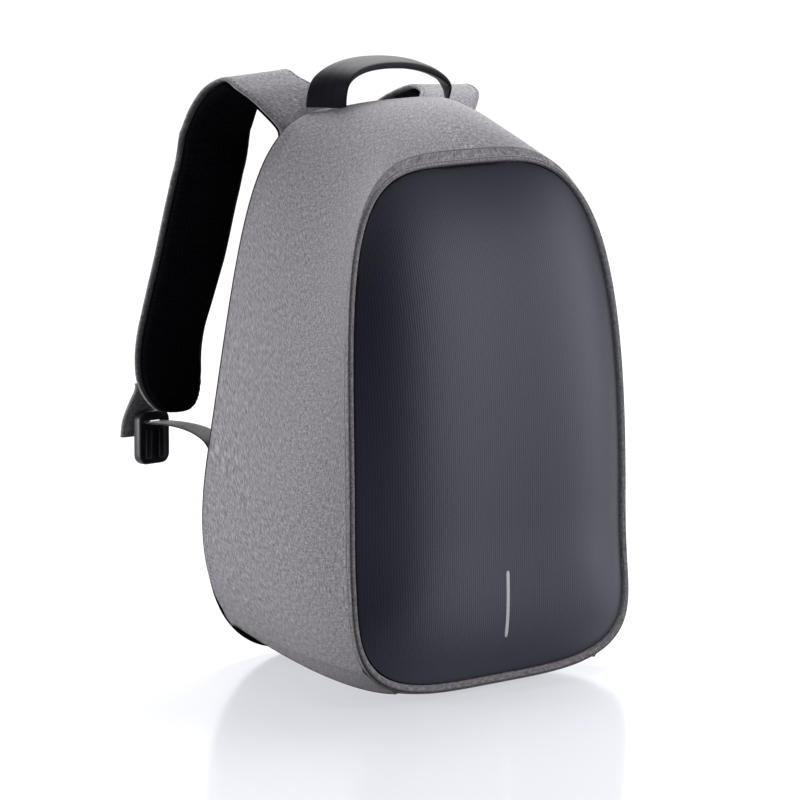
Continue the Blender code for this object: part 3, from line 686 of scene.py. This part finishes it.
pad_mesh = drape(PAD_COLUMNS, 2 * len(PAD_RINGS) - 1, pad_shape)
pad_layer = pad_mesh.loops.layers.uv.active
for pad_face in pad_mesh.faces:
    for corner in pad_face.loops:
        corner[pad_layer].uv = (corner.vert.co.x, corner.vert.co.z)
pad = link("back_pad", closed(pad_mesh), spacer)
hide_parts("back_panel")


def bag_height(x, y):
    """The height of the bag's top face over a point of the floor."""
    share = 0.8
    angle = pi / 3
    step = 1e-5
    for _ in range(20):
        here = skin(share, angle)
        by_share = (skin(share + step, angle) - here) / step
        by_angle = (skin(share, angle + step) - here) / step
        area = by_share.x * by_angle.y - by_share.y * by_angle.x
        share += ((x - here.x) * by_angle.y - (y - here.y) * by_angle.x) / area
        angle += (by_share.x * (y - here.y) - by_share.y * (x - here.x)) / area
    return skin(share, angle).z


# The handle: one folded band, padded over the arch and sewn down flat at both feet
HANDLE_FOOT = bag_height(HANDLE_FOOT_SPACING / 2, HANDLE_DEPTH_PLACE)
HANDLE_COLUMNS = 32
HANDLE_ROWS = 150
HANDLE_END = 0.985


def handle_centre(share):
    x = HANDLE_FOOT_SPACING / 2 * signed_power(sin(share * pi / 2), 0.92)
    arch = max(0.0, 1 - share**2) ** 0.85 * (1 - HANDLE_LEAN * share)
    return Vector((x, HANDLE_DEPTH_PLACE, HANDLE_FOOT + HANDLE_RISE * arch))


def rounded(width, thickness, count):
    """A flat oval ring with round edges, as places across and out."""
    ring = []
    for i in range(count):
        angle = 2 * pi * i / count
        across = width / 2 * signed_power(cos(angle), 0.45)
        ring.append((across, thickness / 2 * signed_power(sin(angle), 0.75)))
    return ring


def handle_point(share, place):
    """A place on the band: flat at the feet, padded and tipped forwards over the arch, with a sewn groove."""
    along = (handle_centre(share + 0.01) - handle_centre(share - 0.01)).normalized()
    lean = HANDLE_SPLAY * signed_power(share, 1.6)
    full = max(0.0, 1 - (share / HANDLE_SEAM) ** 4)
    across = Vector((-sin(lean), -cos(lean), -0.17 * full))
    across = (across - across.dot(along) * along).normalized()
    out = along.cross(across)
    width = HANDLE_WIDTH * min(1.0, 0.84 + 0.16 * (share / HANDLE_SEAM) ** 2)
    a, b = rounded(width, 0.003 + 0.0035 * full, HANDLE_COLUMNS)[place % HANDLE_COLUMNS]
    groove = 0.0004 * max(0.0, 1 - abs(abs(a) - width * 0.36) / 0.0012)
    middle = handle_centre(share) - Vector((0, 0, 0.002 * full))
    return middle + across * a + out * (b - (groove if b > 0 else -groove))


def handle_shape(column, row):
    share = -HANDLE_END + 2 * HANDLE_END * row / HANDLE_ROWS
    point = handle_point(share, column)
    if abs(share) > HANDLE_SEAM:
        point.z = max(point.z, bag_height(abs(point.x), point.y) + 0.0004)
    return point


handle_mesh = closed(drape(HANDLE_COLUMNS, HANDLE_ROWS, handle_shape, (0.060, 0.19)))
handle = link("handle_band", handle_mesh, webbing_cloth)
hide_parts("handle_grip", "handle_foot_left", "handle_foot_right")


def mirrored(point, side):
    return Vector((side * point.x, point.y, point.z))


def eased(a, b, c, d, t):
    """A smooth curve through four values in turn, read at t between the second and the third."""
    return 0.5 * (2 * b + (c - a) * t + (2 * a - 5 * b + 4 * c - d) * t**2 + (3 * b - a - 3 * c + d) * t**3)


def four_round(points, place):
    """The four entries round a place in a list, with its ends repeated, and how far on the place is."""
    first = min(int(place), len(points) - 2)
    return [points[max(0, min(first + k, len(points) - 1))] for k in (-1, 0, 1, 2)], place - first


def strap_edge(share, side):
    """A strap's outer edge as if on the right, its tilt and its width; the right one slumps and bows out."""
    rows, t = four_round(STRAP_ROWS, share * (len(STRAP_ROWS) - 1))
    apart, back, up, tilt, width = [eased(*values, t) for values in zip(*rows)]
    rise = STRAP_RISE * (1 - RIGHT_SLUMP) if side > 0 else STRAP_RISE
    bow = RIGHT_BOW * max(0.0, 1 - ((share - RIGHT_BOW_PLACE) / RIGHT_BOW_REACH) ** 2) if side > 0 else 0.0
    height = STRAP_ROOT_HEIGHT + up * (rise if up > 0 else STRAP_DROP)
    spot = Vector((apart * STRAP_SPREAD + bow, STRAP_ROOT_Y + back * STRAP_REACH, height))
    return spot, tilt, width * STRAP_WIDTH


def strap_frame(share, side):
    """A strap's middle, its directions to the inner edge and into the padding, and its width."""
    spot, tilt, width = strap_edge(share, side)
    ahead = strap_edge(min(share + 0.02, 1.0), side)[0]
    behind = strap_edge(max(share - 0.02, 0.0), side)[0]
    along = (ahead - behind).normalized()
    across = Vector((-1, 0, tilt)).normalized()
    tip = strap_edge(1.0, side)[0].z
    middle = spot + across * width / 2
    left = min(1.0, (middle.z - tip) / STRAP_END_ROUND) if share > TIP_START else 1.0
    narrowed = width * (0.30 + 0.70 * sqrt(max(0.0, 1 - (1 - left) ** 2)))
    return middle, across, across.cross(along).normalized(), narrowed


ALONG_STRAP = 150
STRAP_SHARES = spread(0.0, TIP_START, 110) + spread(TIP_START, 1.0, 40)[1:]
# Places round the cover's section, as shares of half its width and of its thickness, with a stitched groove
COVER_RING = [(1.0, 0.5), (0.985, 0.18), (0.94, 0.0), (0.90, 0.10), (0.86, 0.0), (0.55, 0.0), (0.2, 0.0),
              (-0.2, 0.0), (-0.55, 0.0), (-0.86, 0.0), (-0.90, 0.10), (-0.94, 0.0), (-0.985, 0.18),
              (-1.0, 0.5), (-0.97, 1.0), (-0.5, 1.0), (0.0, 1.0), (0.5, 1.0), (0.97, 1.0)]
COVER_GROOVE = 0.90
COVER_MARKS = [0.0]
for near_place, next_place in zip(COVER_RING, COVER_RING[1:] + COVER_RING[:1]):
    COVER_MARKS.append(COVER_MARKS[-1] + max(0.001, abs(near_place[0] - next_place[0]) * STRAP_WIDTH / 2))


def cover_shape(side):
    """The grey cover: a band whose edges are folded over and stitched a few millimetres in."""
    def shape(column, row):
        middle, across, inwards, width = strap_frame(STRAP_SHARES[row], side)
        place, depth = COVER_RING[column % len(COVER_RING)]
        return mirrored(middle + across * (-place * width / 2) + inwards * (depth * STRAP_COVER), side)
    return shape


LINER_FACE = 98
LINER_BACK = 8
LINER_COLUMNS = LINER_FACE + LINER_BACK
LINER_BAND = 0.0085
LINER_RIB_PITCH = 0.004


def mesh_shape(side):
    """The pad under the cover: ribs run along it, and a flat band follows the outer edge."""
    def shape(column, row):
        share = STRAP_SHARES[row]
        middle, across, inwards, width = strap_frame(share, side)
        half = width / 2 - 0.0015
        step = column % LINER_COLUMNS
        if step <= LINER_FACE:
            place = 1 - 2 * step / LINER_FACE
            past_band = half * (1 - place) - LINER_BAND
            edge = smoothstep(min(half * (1 - abs(place)), 0.004) / 0.004)
            rib = 0.0002
            if past_band > 0:
                rib = 0.0006 * (0.5 - 0.5 * cos(2 * pi * past_band / LINER_RIB_PITCH))
            deep = STRAP_PAD * (0.55 + 0.45 * edge) - rib
        else:
            place = -1 + 2 * (step - LINER_FACE) / LINER_BACK
            deep = 0.0
        return mirrored(middle + across * (-place * half) + inwards * (STRAP_COVER + 0.0003 + deep), side)
    return shape


for name, side in SIDES:
    cover_mesh = closed(drape(len(COVER_RING), ALONG_STRAP, cover_shape(side), (0.130, 0.33), COVER_MARKS))
    cover = link("strap_cover_" + name, cover_mesh, melange)
    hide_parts("strap_" + name)
    liner_mesh = closed(drape(LINER_COLUMNS, ALONG_STRAP, mesh_shape(side), (0.120, 0.33)))
    liner = link("strap_liner_" + name, liner_mesh, spacer)
    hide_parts("strap_mesh_" + name)
    for edge_name, place in (("outer", COVER_GROOVE), ("inner", -COVER_GROOVE)):
        path = []
        normals = []
        for share in STRAP_SHARES:
            middle, across, inwards, width = strap_frame(share, side)
            path.append(mirrored(middle + across * (-place * width / 2) + inwards * 0.0001, side))
            normals.append(mirrored(-inwards, side))
        stitches(f"strap_stitching_{edge_name}_{name}", path, normals, TOPSTITCH)


# The card pocket on the left strap
POCKET_CELLS = 24
POCKET_HALF_WIDTH = 0.023


def pocket_shape(column, row):
    share = POCKET_START + (POCKET_END - POCKET_START) * row / POCKET_CELLS
    middle, across, inwards, _ = strap_frame(share, -1)
    u = column / POCKET_CELLS * 2 - 1
    v = row / POCKET_CELLS * 2 - 1
    bulge = 0.0032 * (1 - abs(u) ** 5) * (1 - abs(v) ** 5) + 0.0003
    return mirrored(middle + across * (-u * POCKET_HALF_WIDTH) - inwards * bulge, -1)


pocket_mesh = drape(POCKET_CELLS, POCKET_CELLS, pocket_shape, (2 * POCKET_HALF_WIDTH, 0.040))
bmesh.ops.solidify(pocket_mesh, geom=pocket_mesh.faces, thickness=0.0002)
bmesh.ops.recalc_face_normals(pocket_mesh, faces=pocket_mesh.faces)
pocket = link("strap_card_pocket", pocket_mesh, melange)
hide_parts("strap_pocket")


def along_points(points, place):
    """A smooth curve through points, read at a place between them."""
    near, t = four_round(points, place)
    return eased(*near, t)


BAND_COLUMNS = 20


def band_shape(points, side, width, thickness, rows):
    """A flat band that lies across X along a route."""
    def shape(column, row):
        place = (len(points) - 1) * row / rows
        centre = along_points(points, place)
        ahead = along_points(points, min(place + 0.05, len(points) - 1))
        behind = along_points(points, max(place - 0.05, 0.0))
        out = Vector((1, 0, 0)).cross((ahead - behind).normalized())
        a, b = rounded(width, thickness, BAND_COLUMNS)[column % BAND_COLUMNS]
        return mirrored(centre + Vector((a, 0, 0)) + out * b, side)
    return shape


# The folded tab, the buckle and the webbing at the end of each strap
TAB_WIDTH = 0.026
TAB_THICKNESS = 0.004
TAB_ROWS = 40
WEB_WIDTH = 0.020
WEB_THICKNESS = 0.0014
WEB_ROWS = 80
SLOT_SIZE = (0.021, 0.03, 0.0024)
SLOT_DROP = 0.008
seat, _, _ = strap_edge(0.93, -1)
TAB_ROUTE = [Vector((0.106, seat.y + 0.0023 + 0.016 * swing, seat.z - 0.040 * drop))
             for drop, swing in ((0.0, 0.0), (0.12, 0.02), (0.36, 0.40), (0.70, 0.86), (1.0, 1.0))]
buckle_low, buckle_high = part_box("buckle_right")
buckle_middle = (buckle_low + buckle_high) / 2
web_low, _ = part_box("webbing_right")
slot_height = buckle_high.z - SLOT_DROP
web_start = Vector((0.092, web_low.y + 0.0007, 0.148))
web_run = Vector((buckle_middle.x, buckle_middle.y, slot_height)) - web_start
WEB_BEND = ((0, 0, 0), (0.05, 0, 0.30), (0.15, 0.10, 0.66), (0.40, 0.32, 0.92), (0.70, 0.62, 1.02),
            (1.0, 0.94, 1.0))
WEB_ROUTE = [web_start + Vector((web_run.x * a, web_run.y * b, web_run.z * c)) for a, b, c in WEB_BEND]


def make_buckle(name, side):
    """A ladder-lock: rounded frame, webbing slot under its top bar, and two ridges for the thumb."""
    mesh = bmesh.new()
    size = buckle_high - buckle_low
    bmesh.ops.create_cube(mesh, size=1.0)
    bmesh.ops.scale(mesh, vec=size, verts=mesh.verts)
    upright = [edge for edge in mesh.edges if abs(edge.verts[0].co.y - edge.verts[1].co.y) > size.y / 2]
    bmesh.ops.bevel(mesh, geom=upright, offset=0.007, segments=6, profile=0.5, affect="EDGES")
    faces = [face for face in mesh.faces if abs(face.normal.y) > 0.9]
    rims = list({edge for face in faces for edge in face.edges})
    bmesh.ops.bevel(mesh, geom=rims, offset=0.0012, segments=3, profile=0.5, affect="EDGES")
    centre = mirrored(buckle_middle, side)
    bmesh.ops.translate(mesh, vec=centre, verts=mesh.verts)
    piece = link("ladder_buckle_" + name, mesh, acetal)
    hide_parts("buckle_" + name)
    cutter = bmesh.new()
    bmesh.ops.create_cube(cutter, size=1.0)
    bmesh.ops.scale(cutter, vec=SLOT_SIZE, verts=cutter.verts)
    bmesh.ops.translate(cutter, vec=(centre.x, centre.y, slot_height), verts=cutter.verts)
    data = bpy.data.meshes.new("slot")
    cutter.to_mesh(data)
    cutter.free()
    tool = bpy.data.objects.new("slot_" + name, data)
    bpy.context.scene.collection.objects.link(tool)
    cut = piece.modifiers.new("slot", "BOOLEAN")
    cut.operation = "DIFFERENCE"
    cut.object = tool
    done = bpy.data.meshes.new_from_object(piece.evaluated_get(bpy.context.evaluated_depsgraph_get()))
    piece.modifiers.clear()
    piece.data = done
    bpy.data.objects.remove(tool)
    mesh = bmesh.new()
    mesh.from_mesh(done)
    for x in (-0.0062, 0.0062):
        ridge = bmesh.ops.create_cube(mesh, size=1.0)["verts"]
        bmesh.ops.scale(mesh, vec=(0.0055, 0.0014, 0.021), verts=ridge)
        bmesh.ops.translate(mesh, vec=centre + Vector((x, -size.y / 2 - 0.0004, -0.004)), verts=ridge)
        edges = list({edge for vert in ridge for edge in vert.link_edges})
        bmesh.ops.bevel(mesh, geom=edges, offset=0.0005, segments=2, profile=0.5, affect="EDGES")
    mesh.to_mesh(done)
    mesh.free()
    done.shade_smooth()
    done.set_sharp_from_angle(angle=radians(45))


for name, side in SIDES:
    tab_shape = band_shape(TAB_ROUTE, side, TAB_WIDTH, TAB_THICKNESS, TAB_ROWS)
    tab_mesh = closed(drape(BAND_COLUMNS, TAB_ROWS, tab_shape, (0.066, 0.045)))
    tab = link("strap_end_tab_" + name, tab_mesh, melange)
    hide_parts("strap_tab_" + name)
    make_buckle(name, side)
    web_shape = band_shape(WEB_ROUTE, side, WEB_WIDTH, WEB_THICKNESS, WEB_ROWS)
    web_mesh = closed(drape(BAND_COLUMNS, WEB_ROWS, web_shape, (0.042, 0.07)))
    web = link("strap_webbing_" + name, web_mesh, webbing_cloth)
    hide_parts("webbing_" + name)

# Stage: a white glossy floor, a white backdrop and soft lights
FLOOR_HALF_SIZE = 12
BACKDROP_RADIUS = 14
CARD_HALF_SIZE = 8
CARD_DISTANCE = 9


def set_piece(name, mesh, material):
    """An object of the stage, which isn't part of the bag and throws no light on it."""
    data = bpy.data.meshes.new(name)
    mesh.to_mesh(data)
    mesh.free()
    data.materials.append(material)
    piece = bpy.data.objects.new(name, data)
    bpy.context.scene.collection.objects.link(piece)
    piece.visible_diffuse = False
    return piece


# White acrylic sheet: pale and smooth, with a faint mirror image of what stands on it.
acrylic, tree, shader = start_material("white_acrylic_sheet", 0.16, IOR=1.35)
shader.inputs["Base Color"].default_value = linear("#9c9ca0")
shader.inputs["Emission Color"].default_value = linear("#f6f8ff")
shader.inputs["Emission Strength"].default_value = 0.6
floor_mesh = bmesh.new()
bmesh.ops.create_grid(floor_mesh, x_segments=1, y_segments=1, size=FLOOR_HALF_SIZE)
floor = set_piece("floor", floor_mesh, acrylic)
floor.location.z = -0.0004

# White paper backdrop, evenly lit.
paper, tree, shader = start_material("white_backdrop_paper", 1.0)
shader.inputs["Base Color"].default_value = linear("#000000")
shader.inputs["Emission Color"].default_value = linear("#ffffff")
shader.inputs["Emission Strength"].default_value = 1.0
backdrop_mesh = bmesh.new()
bmesh.ops.create_uvsphere(backdrop_mesh, u_segments=32, v_segments=16, radius=BACKDROP_RADIUS)
bmesh.ops.reverse_faces(backdrop_mesh, faces=backdrop_mesh.faces)
backdrop = set_piece("backdrop", backdrop_mesh, paper)
backdrop.visible_glossy = False
backdrop.visible_shadow = False

# White card behind the bag, seen only in the floor's shine
card_mesh = bmesh.new()
bmesh.ops.create_grid(card_mesh, x_segments=1, y_segments=1, size=CARD_HALF_SIZE)
bmesh.ops.rotate(card_mesh, matrix=Matrix.Rotation(pi / 2, 3, "X"), verts=card_mesh.verts)
bmesh.ops.rotate(card_mesh, matrix=Matrix.Rotation(CAMERA_TURN, 3, "Z"), verts=card_mesh.verts)
card = set_piece("card", card_mesh, paper)
card.location = Vector((-away.x, -away.y, 0)) * CARD_DISTANCE
card.visible_camera = False
card.visible_shadow = False


def soft_light(name, place, size, power):
    """A square softbox that faces the bag."""
    lamp = bpy.data.lights.new(name, "AREA")
    lamp.size = size
    lamp.energy = power
    holder = bpy.data.objects.new(name, lamp)
    holder.location = place
    holder.rotation_euler = (Vector(place) - AIM).to_track_quat("Z", "Y").to_euler()
    bpy.context.scene.collection.objects.link(holder)


soft_light("right_softbox", (2.1, -1.5, 0.5), 1.6, 38)
soft_light("left_softbox", (-1.5, 0.85, 0.25), 0.8, 28)
soft_light("front_softbox", (-0.4, -1.6, 2.0), 1.2, 9)
soft_light("top_softbox", (1.0, 0.6, 2.1), 1.4, 78)
world = bpy.data.worlds.new("studio")
world.use_nodes = True
world.node_tree.nodes["Background"].inputs["Color"].default_value = linear("#ffffff")
world.node_tree.nodes["Background"].inputs["Strength"].default_value = 0.09
bpy.context.scene.world = world
